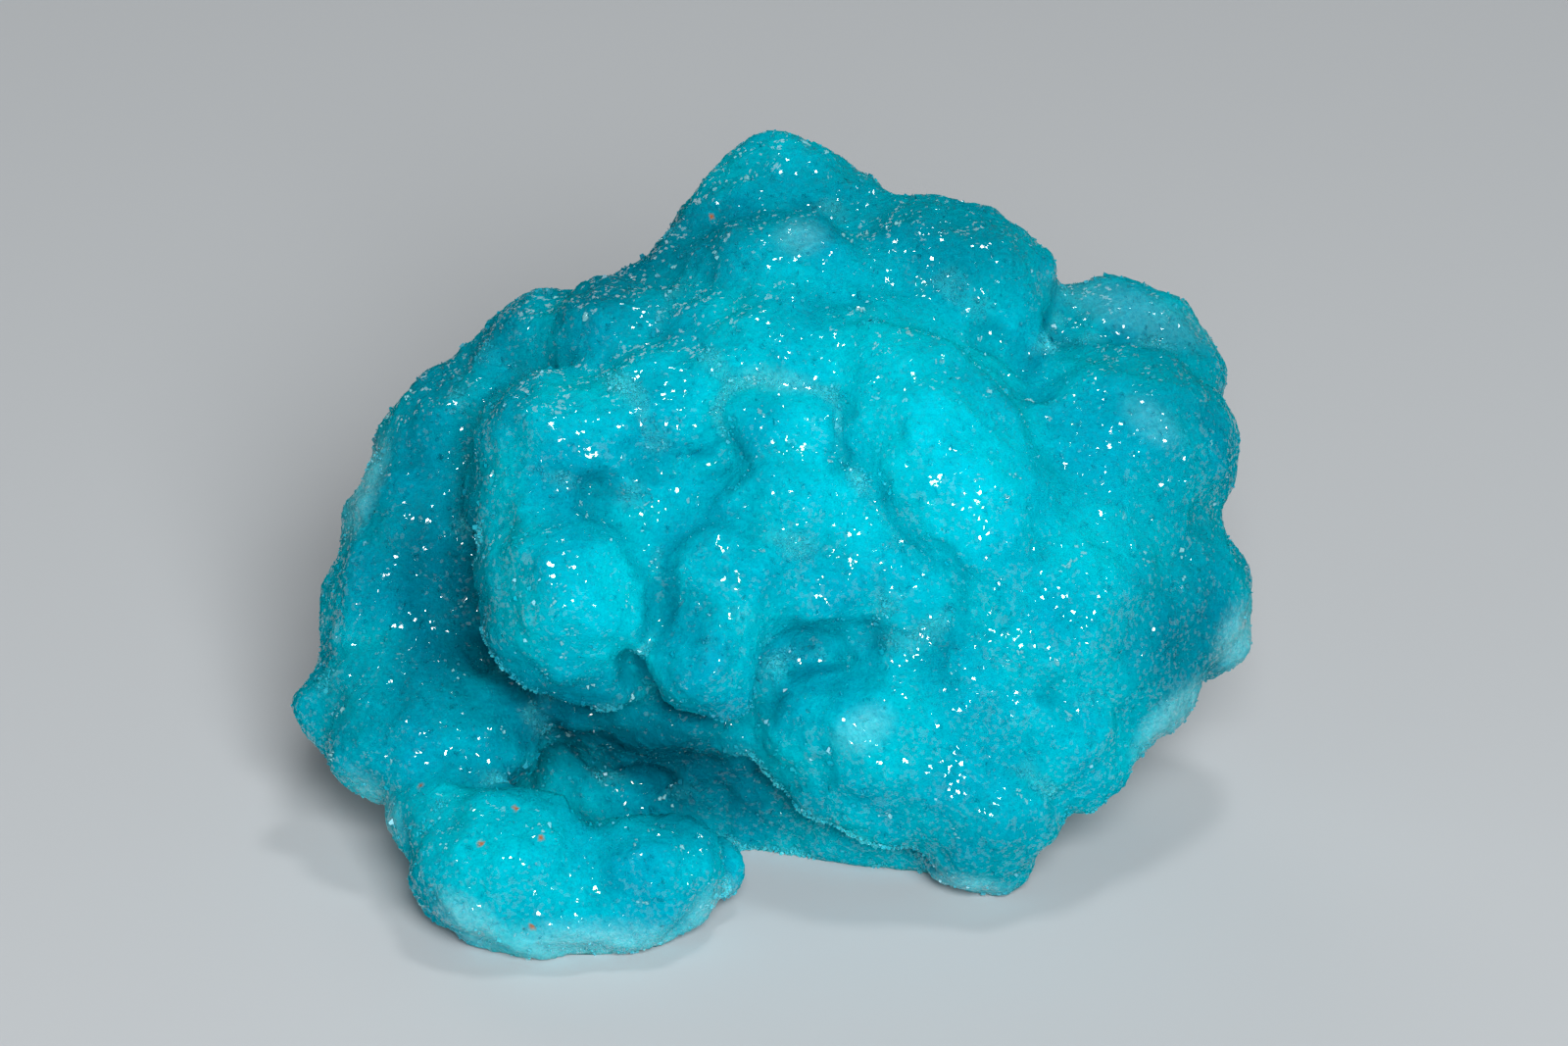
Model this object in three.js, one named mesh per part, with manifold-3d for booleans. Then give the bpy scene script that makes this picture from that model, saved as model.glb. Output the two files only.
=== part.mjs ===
// A cabinet specimen of hemimorphite: one turquoise crust of rounded, melted lobes that grew on rock.
// Millimetres, +Z up, the front facing -Y, the origin at the middle of the flat foot.

import * as THREE from "three";
import Module from "manifold-3d";
import { mergeVertices } from "three/addons/utils/BufferGeometryUtils.js";

// The lobes are placed as a person sees them who looks down on the front at this angle
const VIEW_RISE_DEGREES = 25;
// The height of the flat foot under the middle of that view, and the spare length below it
const FOOT_HEIGHT = -28;
const SPARE_BELOW_FOOT = 3;
// The length of the flat facets that the surface is made of
const FACET = 2.05;
// How far the grid that is searched for the surface reaches
const GRID_LOW = [-46, -31, FOOT_HEIGHT - 8];
const GRID_HIGH = [46, 49, 35];
// The low swellings all over the lobes: height and spacing
const SWELL_HEIGHT = 0.22;
const SWELL_SPACING = 8.3;
const RIPPLE_HEIGHT = 0.1;
const RIPPLE_SPACING = 4.7;
// How sharply the broken faces meet the lobes
const BREAK_MELT = 0.6;
// Slopes of the distance below this count as flat, which keeps divisions safe
const LEAST_SLOPE = 1e-6;

const TURQUOISE = 0x0a9cb0;

// Each lobe: name, how far right, up and near its centre is in the view, its half width, half height
// and half depth, its roll in degrees, and how far it melts into the lobes before it
const LOBES = [
  ["heart", 0, 0, -15, 33, 22, 16, 0, 6],
  ["back swell", 4, -6, -19, 25, 19, 14, 0, 6],
  ["right mass", 23, -3, -8, 13, 17, 13, 0, 6],
  ["upper mass", 4, 17.5, -12, 17, 8.5, 11, 0, 6],
  ["left mass", -28.5, -2, -16, 6.5, 15, 7, -10, 5],
  ["deep wall", -4, -22, -19.5, 19, 9.5, 9.5, -4, 4],
  ["centre mass", -6, 4, -4, 15, 12, 10, 0, 5],
  ["shelf", -8.5, -14.2, -7, 12, 3.4, 8, -6, 3],
  ["back left knob", -15, 15, -20, 7, 6.5, 6.5, 0, 2],
  ["back middle knob", 0, 17, -22, 7.5, 6.5, 6, 0, 2],
  ["back right knob", 14, 14, -23, 7.5, 7, 6, 0, 2],
  ["back right low knob", 25, 4, -22, 7, 7, 6, 0, 2],
  ["back left low knob", -23, 1, -21, 7, 7, 6, 0, 2],
  ["crown", 0.6, 28.8, -16, 5.7, 6.0, 7, 0, 2],
  ["crown left", -4.4, 25.3, -15, 4.1, 5.3, 6, 0, 3],
  ["crown right", 6.3, 27.0, -16, 4.2, 5.0, 6, 0, 2],
  ["under crown", 0.8, 22.0, -9, 7.8, 6.2, 9, 0, 2],
  ["upper right", 12.6, 23.4, -13, 7.3, 5.9, 9, 0, 2],
  ["upper right end", 18.2, 21.6, -13, 5.6, 5.8, 9, -20, 3],
  ["back plate", 28.8, 17.1, -18, 7.2, 5.5, 8, 0, 3],
  ["back plate end", 33.5, 13.9, -17, 4.7, 5.0, 7, 0, 3],
  ["right shoulder", 28.9, 7.8, -9, 10.1, 8.8, 11, 0, 2],
  ["right cheek", 33.2, -4.6, -12, 7.2, 7.2, 10, 0, 3],
  ["right tip", 37.4, -7.8, -14, 3.1, 3.2, 5, 0, 2],
  ["right haunch", 27.1, -10.5, -8, 8.4, 7.4, 10, 0, 3],
  ["right foot", 24.2, -16.4, -3, 5.0, 5.8, 8, 0, 1],
  ["chin", 18.0, -22.2, -2, 5.8, 5.6, 8, 0, 2],
  ["chin tip", 17.0, -26.5, -3, 4.1, 2.8, 4, 0, 2],
  ["underside", 8.5, -23.6, -13, 14, 4.8, 8, -18, 3],
  ["lower body", 11.5, -12.0, -7, 11.0, 7.6, 10, -14, 3],
  ["lower body right", 17, -12, -4, 9, 8, 12, 0, 5],
  ["ridge", 14.6, 7.5, -1, 13.0, 7.4, 12, -52, 3],
  ["ridge end", 21.5, -4.2, -3, 9.6, 9, 12, 0, 4],
  ["brow", 2.0, 15.0, -5, 12, 6.4, 11, -8, 3],
  ["temple", -13.2, 16.6, -9, 6.4, 5.8, 9, 0, 2.5],
  ["temple back", -16.6, 17.4, -14, 6, 3.5, 7, 0, 2],
  ["saddle", -7.8, 21.4, -14, 4.0, 3.9, 6, 0, 3],
  ["left shoulder", -20.2, 16.7, -14, 4.2, 3.8, 7, 0, 3],
  ["left shoulder low", -24.1, 12.1, -14, 4.2, 4.1, 7, 0, 3],
  ["left upper flank", -27.8, 8.2, -15, 5.5, 5.4, 8, 0, 3],
  ["left flank", -29.9, 0.6, -14, 6.5, 6.4, 9, 0, 3],
  ["left lower flank", -32.3, -5.4, -12, 5.8, 6.0, 8, 0, 3],
  ["left valley rib", -31.8, -11.0, -10, 6.6, 5.0, 8, 0, 2],
  ["left tip", -36.6, -13.6, -9, 3.8, 3.2, 4.5, 0, 2],
  ["left foot", -33.4, -16.8, -6, 3.8, 3.3, 5, 0, 3],
  ["left apron", -27.6, -16.6, -6, 7.4, 5.8, 8, 0, 4],
  ["front left edge", -28.2, -22.6, -1, 3.8, 4.4, 6, 0, 3],
  ["front lobe left", -21.9, -26.8, 4, 8.2, 6.7, 9, 0, 3],
  ["front lobe right", -10.4, -27.2, 3.5, 5.6, 4.6, 8, 0, 1.2],
  ["front lobe toe", -15.6, -30.2, 4, 9.0, 4.0, 7, 4, 3],
  ["front lobe ear", -4.4, -26.8, 0, 1.8, 2.4, 3, 0, 1],
  ["left boss", -16.0, -4.0, 0, 7.0, 7.6, 8, 0, 2.5],
  ["left boss foot", -12.0, -9.4, -1, 4.0, 4.0, 7, 0, 2],
  ["middle", -3.6, -2.9, 2.0, 7.0, 6.4, 9.5, 0, 2.5],
  ["nose", -4.9, -7.2, 3.0, 4.2, 4.4, 8, 0, 2],
  ["middle right", 5.0, -3.4, -0.5, 5.8, 5.2, 9, 0, 3],
  ["middle top", 1.6, 3.4, 1, 6.2, 5.8, 9, 0, 3],
  ["upper boss", -16.3, 8.9, -0.5, 8.2, 5.4, 9.5, -8, 2],
  ["upper boss right", -8.6, 12.0, -2, 6.0, 5.0, 9, 0, 3],
  ["upper boss left", -20.6, 4.4, -1, 4.8, 5.2, 8, 0, 3],
  ["ridge crease", 9.0, 0.5, 1.0, 6.5, 3.2, 6.4, -56, 3],
  ["ridge crease end", 11.2, -4.8, 0.5, 3.6, 4.0, 5.2, 0, 3],
];

// The lips, lobes that overhang the crust behind them and end in a crisp rim: name, how far right, up
// and near the middle of the rim is, half the rim's width and height, how far the lobe swells in front
// of the rim and behind it, its roll in degrees, and how far it melts into the rest
const LIPS = [
  ["left boss lip", -16.4, -3.7, 4.0, 8.5, 9.9, 10.0, 7, 12, 2],
  ["nose lip", -5.4, -9.6, 7.0, 5.2, 4.8, 5.8, 8, 0, 1.5],
  ["pit lip", 0.8, 9.2, 5.0, 6.2, 4.4, 3.4, 5, -25, 1.5],
  ["ridge lip", 14.4, 5.4, 4.5, 13.8, 7.0, 8.5, 8, -57, 2],
  ["lower body lip", 10.2, -15.4, -1.0, 14.8, 9.6, 8.5, 4, -23, 2],
  ["front lobe right lip", -10.2, -26.6, 5.0, 6.2, 4.8, 6.0, 7, 0, 1.5],
  ["right foot lip", 25.0, -15.6, -2.0, 5.0, 6.4, 6.0, 6, 8, 1.5],
];

// The pits and the cleft under the body, in the same columns as the lobes
const HOLLOWS = [
  ["deep recess", -11.4, -20.2, 2, 5.8, 2.6, 13, 6, 1.0],
  ["pit", -5.4, 6.6, 8.5, 3.0, 2.2, 5.0, 20, 1.5],
  ["nose notch", -11.2, -11.6, 10, 1.3, 3.4, 7, 20, 1.2],
  ["right of nose", 3.6, -9.8, 8, 5.0, 2.4, 7.5, 8, 3],
  ["dimple", -12.4, 2.6, 11, 3.6, 1.5, 5.0, -14, 2.5],
];

// The faces left where the crust broke from its rock: name, a point on the face and the way it looks,
// each as right, up and near
const BREAKS = [
  ["back break", [0, 6, -30.5], [0.05, 0.25, -0.97]],
  ["lower back break", [4, -14, -27.5], [0.1, -0.62, -0.78]],
  ["right back break", [31, -12, -24], [0.72, -0.45, -0.53]],
  ["left back break", [-29.5, -14, -22], [-0.66, -0.5, -0.56]],
];

const viewRise = THREE.MathUtils.degToRad(VIEW_RISE_DEGREES);
const riseCosine = Math.cos(viewRise);
const riseSine = Math.sin(viewRise);

// A place in a shape's own rolled directions, along its half width and half height
function rolled(across, above, roll) {
  const angle = THREE.MathUtils.degToRad(roll);
  return [
    across * Math.cos(angle) + above * Math.sin(angle),
    above * Math.cos(angle) - across * Math.sin(angle),
  ];
}

// Roughly the distance to an ellipsoid's surface, negative inside it
function ellipsoidDistance(right, up, near, lobe) {
  const [, lobeRight, lobeUp, lobeNear, halfWidth, halfHeight, halfDepth, roll] = lobe;
  const [along, athwart] = rolled(right - lobeRight, up - lobeUp, roll);
  const x = along / halfWidth;
  const y = athwart / halfHeight;
  const z = (near - lobeNear) / halfDepth;
  const reach = Math.hypot(x, y, z);
  const slope = Math.hypot(x / halfWidth, y / halfHeight, z / halfDepth);
  return (reach * (reach - 1)) / Math.max(slope, LEAST_SLOPE);
}

// Roughly the distance to a lens with a sharp rim, negative inside it
function lensDistance(right, up, near, lip) {
  const [, rimRight, rimUp, rimNear, halfWidth, halfHeight, front, back, roll] = lip;
  const [along, athwart] = rolled(right - rimRight, up - rimUp, roll);
  const x = along / halfWidth;
  const y = athwart / halfHeight;
  const ahead = near - rimNear;
  const swell = ahead > 0 ? front : back;
  const slope = Math.hypot((2 * x) / halfWidth, (2 * y) / halfHeight, 1 / swell);
  return (x * x + y * y - 1 + Math.abs(ahead) / swell) / slope;
}

// The smaller of two distances, with a fillet of the given width where they are alike
function melted(one, other, melt) {
  const fillet = Math.max(melt - Math.abs(one - other), 0) / melt;
  return Math.min(one, other) - (fillet * fillet * melt) / 4;
}

// Takes the solid of the second distance away from the first
function hollowed(solid, hollow, melt) {
  return -melted(-solid, hollow, melt);
}

// Smooth bumps of one spacing in all directions, between about -1.5 and 1.5
function bumps(x, y, z, spacing) {
  const turn = (2 * Math.PI) / spacing;
  return Math.sin(turn * x) * Math.cos(turn * y)
    + Math.sin(turn * y) * Math.cos(turn * z)
    + Math.sin(turn * z) * Math.cos(turn * x);
}

// Roughly the distance from a point to the crust's surface, negative inside it
function crustDistance(x, y, z) {
  const right = x;
  const up = riseSine * y + riseCosine * z;
  const near = riseSine * z - riseCosine * y;
  let distance = GRID_HIGH[0];
  for (const lobe of LOBES) {
    distance = melted(distance, ellipsoidDistance(right, up, near, lobe), lobe.at(-1));
  }
  for (const lip of LIPS) {
    distance = melted(distance, lensDistance(right, up, near, lip), lip.at(-1));
  }
  for (const hollow of HOLLOWS) {
    distance = hollowed(distance, ellipsoidDistance(right, up, near, hollow), hollow.at(-1));
  }
  for (const [, point, facing] of BREAKS) {
    const [pointRight, pointUp, pointNear] = point;
    const [facingRight, facingUp, facingNear] = facing;
    const offset = (right - pointRight) * facingRight + (up - pointUp) * facingUp
      + (near - pointNear) * facingNear;
    distance = hollowed(distance, -offset / Math.hypot(...facing), BREAK_MELT);
  }
  distance -= SWELL_HEIGHT * bumps(x, y, z, SWELL_SPACING);
  distance -= RIPPLE_HEIGHT * bumps(0.8 * x + 0.6 * y, 0.8 * y - 0.6 * x, z + 1, RIPPLE_SPACING);
  return Math.max(distance, FOOT_HEIGHT - SPARE_BELOW_FOOT - z);
}

// A block of grid points with the crust's distance at each
function sampleGrid() {
  const counts = GRID_LOW.map((low, axis) => Math.ceil((GRID_HIGH[axis] - low) / FACET) + 1);
  const strides = [1, counts[0], counts[0] * counts[1]];
  const values = new Float64Array(counts[0] * counts[1] * counts[2]);
  for (let k = 0; k < counts[2]; k += 1) {
    for (let j = 0; j < counts[1]; j += 1) {
      for (let i = 0; i < counts[0]; i += 1) {
        values[i + j * strides[1] + k * strides[2]] = crustDistance(
          GRID_LOW[0] + i * FACET,
          GRID_LOW[1] + j * FACET,
          GRID_LOW[2] + k * FACET,
        );
      }
    }
  }
  return { counts, strides, values };
}

// Visits each cell of the grid by the index of its lowest corner
function eachCell({ counts, strides }, visit) {
  for (let k = 0; k < counts[2] - 1; k += 1) {
    for (let j = 0; j < counts[1] - 1; j += 1) {
      for (let i = 0; i < counts[0] - 1; i += 1) {
        visit(i + j * strides[1] + k * strides[2], i, j, k);
      }
    }
  }
}

// Fills grid points until no two parts of the solid meet at an edge or a corner alone, so that the
// surface closes with two facets at every edge
function fillPinches(grid) {
  const { strides, values } = grid;
  const justInside = -0.02;
  const inside = (index) => values[index] < 0;
  const cellCorners = [0, 1, 2, 3, 4, 5, 6, 7].map((corner) => (
    (corner & 1) * strides[0] + ((corner >> 1) & 1) * strides[1] + (corner >> 2) * strides[2]
  ));
  const squares = [[0, 1], [0, 2], [1, 2]].map(([one, two]) => (
    [0, strides[one], strides[two], strides[one] + strides[two]]
  ));
  let filled = 1;
  while (filled > 0) {
    filled = 0;
    eachCell(grid, (start) => {
      for (const [a, b, c, d] of squares) {
        const diagonal = inside(start + a) === inside(start + d) && inside(start + b) === inside(start + c);
        if (diagonal && inside(start + a) !== inside(start + b)) {
          const [one, two] = inside(start + a) ? [start + b, start + c] : [start + a, start + d];
          values[values[one] < values[two] ? one : two] = justInside;
          filled += 1;
        }
      }
      const within = cellCorners.filter((corner) => inside(start + corner));
      const without = cellCorners.filter((corner) => !inside(start + corner));
      const few = within.length < without.length ? within : without;
      if (few.length === 2 && few[0] + few[1] === cellCorners[7]) {
        without.forEach((corner) => { values[start + corner] = justInside; });
        filled += 1;
      }
    });
  }
}

// One vertex in each cell that the surface passes through, at the middle of its crossings
function placeVertices(grid) {
  const { strides, values } = grid;
  const positions = [];
  const vertexOfCell = new Map();
  eachCell(grid, (start, i, j, k) => {
    const sum = new THREE.Vector3();
    let crossings = 0;
    for (let axis = 0; axis < 3; axis += 1) {
      const [one, two] = [0, 1, 2].filter((other) => other !== axis);
      for (const [stepOne, stepTwo] of [[0, 0], [1, 0], [0, 1], [1, 1]]) {
        const low = start + stepOne * strides[one] + stepTwo * strides[two];
        const lowValue = values[low];
        const highValue = values[low + strides[axis]];
        if (lowValue < 0 !== highValue < 0) {
          const crossing = [0, 0, 0];
          crossing[axis] = lowValue / (lowValue - highValue);
          crossing[one] = stepOne;
          crossing[two] = stepTwo;
          sum.add(new THREE.Vector3(...crossing));
          crossings += 1;
        }
      }
    }
    if (crossings > 0) {
      vertexOfCell.set(start, positions.length);
      const place = new THREE.Vector3(i, j, k).add(sum.divideScalar(crossings));
      positions.push(place.multiplyScalar(FACET).add(new THREE.Vector3(...GRID_LOW)));
    }
  });
  return { positions, vertexOfCell };
}

// Two triangles for each grid edge that the surface crosses, between the four cells around that edge
function joinVertices(grid, positions, vertexOfCell) {
  const { strides, values } = grid;
  const triangles = [];
  eachCell(grid, (start) => {
    for (let axis = 0; axis < 3; axis += 1) {
      const lowInside = values[start] < 0;
      const highInside = values[start + strides[axis]] < 0;
      if (lowInside !== highInside) {
        const one = strides[(axis + 1) % 3];
        const two = strides[(axis + 2) % 3];
        const around = [start - one - two, start - two, start, start - one];
        const ring = around.map((cell) => vertexOfCell.get(cell));
        const [a, b, c, d] = lowInside ? ring : ring.reverse();
        const straight = positions[a].distanceTo(positions[c]) < positions[b].distanceTo(positions[d]);
        triangles.push(...(straight ? [a, b, c, a, c, d] : [a, b, d, b, c, d]));
      }
    }
  });
  return triangles;
}

// Moves each vertex along the slope of the distance onto the surface itself
function settle(positions) {
  const rounds = 2;
  const nudge = 0.02;
  const leastSlopeSquared = 0.1;
  const longest = 0.3 * FACET;
  for (const point of positions) {
    for (let round = 0; round < rounds; round += 1) {
      const { x, y, z } = point;
      const slope = new THREE.Vector3(
        crustDistance(x + nudge, y, z) - crustDistance(x - nudge, y, z),
        crustDistance(x, y + nudge, z) - crustDistance(x, y - nudge, z),
        crustDistance(x, y, z + nudge) - crustDistance(x, y, z - nudge),
      ).divideScalar(2 * nudge);
      const steepness = Math.max(slope.lengthSq(), leastSlopeSquared);
      const move = slope.multiplyScalar(-crustDistance(x, y, z) / steepness);
      point.add(move.clampLength(0, longest));
    }
  }
}

function crustGeometry() {
  const grid = sampleGrid();
  fillPinches(grid);
  const { positions, vertexOfCell } = placeVertices(grid);
  const triangles = joinVertices(grid, positions, vertexOfCell);
  settle(positions);
  const geometry = new THREE.BufferGeometry().setFromPoints(positions);
  geometry.setIndex(triangles);
  return geometry;
}

const wasm = await Module();
wasm.setup();

function toSolid(geometry) {
  const bare = geometry.clone();
  bare.deleteAttribute("normal");
  bare.deleteAttribute("uv");
  const merged = mergeVertices(bare);
  return new wasm.Manifold(new wasm.Mesh({
    numProp: 3,
    vertProperties: new Float32Array(merged.attributes.position.array),
    triVerts: new Uint32Array(merged.index.array),
  }));
}

function toGeometry(solid) {
  const mesh = solid.getMesh();
  const geometry = new THREE.BufferGeometry();
  geometry.setAttribute("position", new THREE.BufferAttribute(mesh.vertProperties, 3));
  geometry.setIndex(new THREE.BufferAttribute(mesh.triVerts, 1));
  geometry.computeVertexNormals();
  return geometry;
}

// The crust is sawn off flat at its foot, so that it stands
function sawnFlat(geometry) {
  const block = new THREE.BoxGeometry(2 * GRID_HIGH[0], 2 * GRID_HIGH[1], 2 * SPARE_BELOW_FOOT + 2 * FACET);
  block.translate(0, 0, FOOT_HEIGHT - SPARE_BELOW_FOOT - FACET);
  return toGeometry(toSolid(geometry).subtract(toSolid(block)));
}

const crust = new THREE.Mesh(
  sawnFlat(crustGeometry()),
  new THREE.MeshStandardMaterial({ color: TURQUOISE, roughness: 0.35, metalness: 0 }),
);
crust.name = "hemimorphite";

crust.geometry.computeBoundingBox();
const middle = crust.geometry.boundingBox.getCenter(new THREE.Vector3());
crust.position.set(-middle.x, -middle.y, -crust.geometry.boundingBox.min.z);

const specimen = new THREE.Group();
specimen.name = "specimen";
specimen.add(crust);

export default specimen;
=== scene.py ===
# %% [markdown]
# A lesson: a turquoise hemimorphite crust
#
# Hemimorphite is a zinc silicate. This specimen grew in a hollow in its rock as one crust: rounded
# lobes that ran into each other, with a skin of crystals under a millimetre long that sparkle like
# sugar. We build the crust as one mesh, because light wanders through it as one body. The crystal
# tips on its rims and the groups of clear crystals are joined meshes of their own.
#
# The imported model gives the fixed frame: where the specimen stands, and how large it is.

import bpy
import numpy as np
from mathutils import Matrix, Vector


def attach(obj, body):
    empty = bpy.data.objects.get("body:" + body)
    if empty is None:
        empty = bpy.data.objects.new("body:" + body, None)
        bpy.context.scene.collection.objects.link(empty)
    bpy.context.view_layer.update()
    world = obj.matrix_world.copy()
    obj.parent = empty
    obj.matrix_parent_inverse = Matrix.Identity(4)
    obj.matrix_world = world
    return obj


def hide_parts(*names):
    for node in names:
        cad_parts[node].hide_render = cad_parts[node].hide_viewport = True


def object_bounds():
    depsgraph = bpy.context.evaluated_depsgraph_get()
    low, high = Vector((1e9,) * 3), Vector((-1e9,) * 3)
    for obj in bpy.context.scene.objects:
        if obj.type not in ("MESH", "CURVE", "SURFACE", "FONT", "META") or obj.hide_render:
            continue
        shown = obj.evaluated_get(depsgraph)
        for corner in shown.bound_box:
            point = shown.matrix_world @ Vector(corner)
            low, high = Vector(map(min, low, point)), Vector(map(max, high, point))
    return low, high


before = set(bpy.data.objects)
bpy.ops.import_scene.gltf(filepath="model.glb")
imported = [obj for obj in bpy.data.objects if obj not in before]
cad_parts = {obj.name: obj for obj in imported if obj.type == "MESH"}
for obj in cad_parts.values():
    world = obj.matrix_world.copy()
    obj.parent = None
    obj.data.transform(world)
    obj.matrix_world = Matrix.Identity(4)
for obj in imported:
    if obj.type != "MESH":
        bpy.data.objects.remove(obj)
cad_low, cad_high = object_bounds()
print("packed solid, mm:", [round(1000 * (high - low), 1) for low, high in zip(cad_low, cad_high)])

# %% [markdown]
# The lobes are placed as a person sees them who looks down on the front: how far right, how far up
# and how near. That is easier to judge than heights and depths. The angle, 25 degrees, is an
# estimate: the real one may be anywhere from 20 to 30. This cell turns such places into the frame's
# own directions and back.

# %% Right, up and near
VIEW_RISE = np.radians(25.0)
FOOT_HEIGHT = -28.0
MM = 0.001


def seen_from_front(points):
    """Right, up and near of points given as x, y and z."""
    x, y, z = points.T
    up = np.sin(VIEW_RISE) * y + np.cos(VIEW_RISE) * z
    near = np.sin(VIEW_RISE) * z - np.cos(VIEW_RISE) * y
    return x, up, near


def standing(right, up, near):
    """x, y and z of a place given as right, up and near."""
    y = np.sin(VIEW_RISE) * up - np.cos(VIEW_RISE) * near
    z = np.cos(VIEW_RISE) * up + np.sin(VIEW_RISE) * near
    return np.array([right, y, z])


print("1 mm nearer is", np.round(standing(0, 0, 1), 2), "mm in x, y and z")

# %% [markdown]
# Each lobe is an ellipsoid: a name, right, up and near of its centre, its half width, half height and
# half depth, its roll in degrees, and how far it melts into the lobes before it. The same rows shape
# the imported solid, so the two agree. They were set one by one, the large masses first. Those at the
# edge were then moved until the measured outline fitted. How near each stands is judged from shading.

# %% The lobes
LOBES = [
    ("heart", 0, 0, -15, 33, 22, 16, 0, 6),
    ("back swell", 4, -6, -19, 25, 19, 14, 0, 6),
    ("right mass", 23, -3, -8, 13, 17, 13, 0, 6),
    ("upper mass", 4, 17.5, -12, 17, 8.5, 11, 0, 6),
    ("left mass", -28.5, -2, -16, 6.5, 15, 7, -10, 5),
    ("deep wall", -4, -22, -19.5, 19, 9.5, 9.5, -4, 4),
    ("centre mass", -6, 4, -4, 15, 12, 10, 0, 5),
    ("shelf", -8.5, -14.2, -7, 12, 3.4, 8, -6, 3),
    ("back left knob", -15, 15, -20, 7, 6.5, 6.5, 0, 2),
    ("back middle knob", 0, 17, -22, 7.5, 6.5, 6, 0, 2),
    ("back right knob", 14, 14, -23, 7.5, 7, 6, 0, 2),
    ("back right low knob", 25, 4, -22, 7, 7, 6, 0, 2),
    ("back left low knob", -23, 1, -21, 7, 7, 6, 0, 2),
    ("crown", 0.6, 28.8, -16, 5.7, 6.0, 7, 0, 2),
    ("crown left", -4.4, 25.3, -15, 4.1, 5.3, 6, 0, 3),
    ("crown right", 6.3, 27.0, -16, 4.2, 5.0, 6, 0, 2),
    ("under crown", 0.8, 22.0, -9, 7.8, 6.2, 9, 0, 2),
    ("upper right", 12.6, 23.4, -13, 7.3, 5.9, 9, 0, 2),
    ("upper right end", 18.2, 21.6, -13, 5.6, 5.8, 9, -20, 3),
    ("back plate", 28.8, 17.1, -18, 7.2, 5.5, 8, 0, 3),
    ("back plate end", 33.5, 13.9, -17, 4.7, 5.0, 7, 0, 3),
    ("right shoulder", 28.9, 7.8, -9, 10.1, 8.8, 11, 0, 2),
    ("right cheek", 33.2, -4.6, -12, 7.2, 7.2, 10, 0, 3),
    ("right tip", 37.4, -7.8, -14, 3.1, 3.2, 5, 0, 2),
    ("right haunch", 27.1, -10.5, -8, 8.4, 7.4, 10, 0, 3),
    ("right foot", 24.2, -16.4, -3, 5.0, 5.8, 8, 0, 1),
    ("chin", 18.0, -22.2, -2, 5.8, 5.6, 8, 0, 2),
    ("chin tip", 17.0, -26.5, -3, 4.1, 2.8, 4, 0, 2),
    ("underside", 8.5, -23.6, -13, 14, 4.8, 8, -18, 3),
    ("lower body", 11.5, -12.0, -7, 11.0, 7.6, 10, -14, 3),
    ("lower body right", 17, -12, -4, 9, 8, 12, 0, 5),
    ("ridge", 14.6, 7.5, -1, 13.0, 7.4, 12, -52, 3),
    ("ridge end", 21.5, -4.2, -3, 9.6, 9, 12, 0, 4),
    ("brow", 2.0, 15.0, -5, 12, 6.4, 11, -8, 3),
    ("temple", -13.2, 16.6, -9, 6.4, 5.8, 9, 0, 2.5),
    ("temple back", -16.6, 17.4, -14, 6, 3.5, 7, 0, 2),
    ("saddle", -7.8, 21.4, -14, 4.0, 3.9, 6, 0, 3),
    ("left shoulder", -20.2, 16.7, -14, 4.2, 3.8, 7, 0, 3),
    ("left shoulder low", -24.1, 12.1, -14, 4.2, 4.1, 7, 0, 3),
    ("left upper flank", -27.8, 8.2, -15, 5.5, 5.4, 8, 0, 3),
    ("left flank", -29.9, 0.6, -14, 6.5, 6.4, 9, 0, 3),
    ("left lower flank", -32.3, -5.4, -12, 5.8, 6.0, 8, 0, 3),
    ("left valley rib", -31.8, -11.0, -10, 6.6, 5.0, 8, 0, 2),
    ("left tip", -36.6, -13.6, -9, 3.8, 3.2, 4.5, 0, 2),
    ("left foot", -33.4, -16.8, -6, 3.8, 3.3, 5, 0, 3),
    ("left apron", -27.6, -16.6, -6, 7.4, 5.8, 8, 0, 4),
    ("front left edge", -28.2, -22.6, -1, 3.8, 4.4, 6, 0, 3),
    ("front lobe left", -21.9, -26.8, 4, 8.2, 6.7, 9, 0, 3),
    ("front lobe right", -10.4, -27.2, 3.5, 5.6, 4.6, 8, 0, 1.2),
    ("front lobe toe", -15.6, -30.2, 4, 9.0, 4.0, 7, 4, 3),
    ("front lobe ear", -4.4, -26.8, 0, 1.8, 2.4, 3, 0, 1),
    ("left boss", -16.0, -4.0, 0, 7.0, 7.6, 8, 0, 2.5),
    ("left boss foot", -12.0, -9.4, -1, 4.0, 4.0, 7, 0, 2),
    ("middle", -3.6, -2.9, 2.0, 7.0, 6.4, 9.5, 0, 2.5),
    ("nose", -4.9, -7.2, 3.0, 4.2, 4.4, 8, 0, 2),
    ("middle right", 5.0, -3.4, -0.5, 5.8, 5.2, 9, 0, 3),
    ("middle top", 1.6, 3.4, 1, 6.2, 5.8, 9, 0, 3),
    ("upper boss", -16.3, 8.9, -0.5, 8.2, 5.4, 9.5, -8, 2),
    ("upper boss right", -8.6, 12.0, -2, 6.0, 5.0, 9, 0, 3),
    ("upper boss left", -20.6, 4.4, -1, 4.8, 5.2, 8, 0, 3),
    ("ridge crease", 9.0, 0.5, 1.0, 6.5, 3.2, 6.4, -56, 3),
    ("ridge crease end", 11.2, -4.8, 0.5, 3.6, 4.0, 5.2, 0, 3),
]
print(len(LOBES), "lobes")

# %% [markdown]
# Some lobes overhang the crust behind them and end in a crisp edge. An ellipsoid can't do that, so
# these lips are lenses: right, up and near of the rim's middle, half width and half height of the
# rim, how far the lens swells in front of it and behind it, roll, and melt. The hollows are
# ellipsoids that are taken away, and the breaks are flat cuts, where the crust came off its rock.

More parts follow.
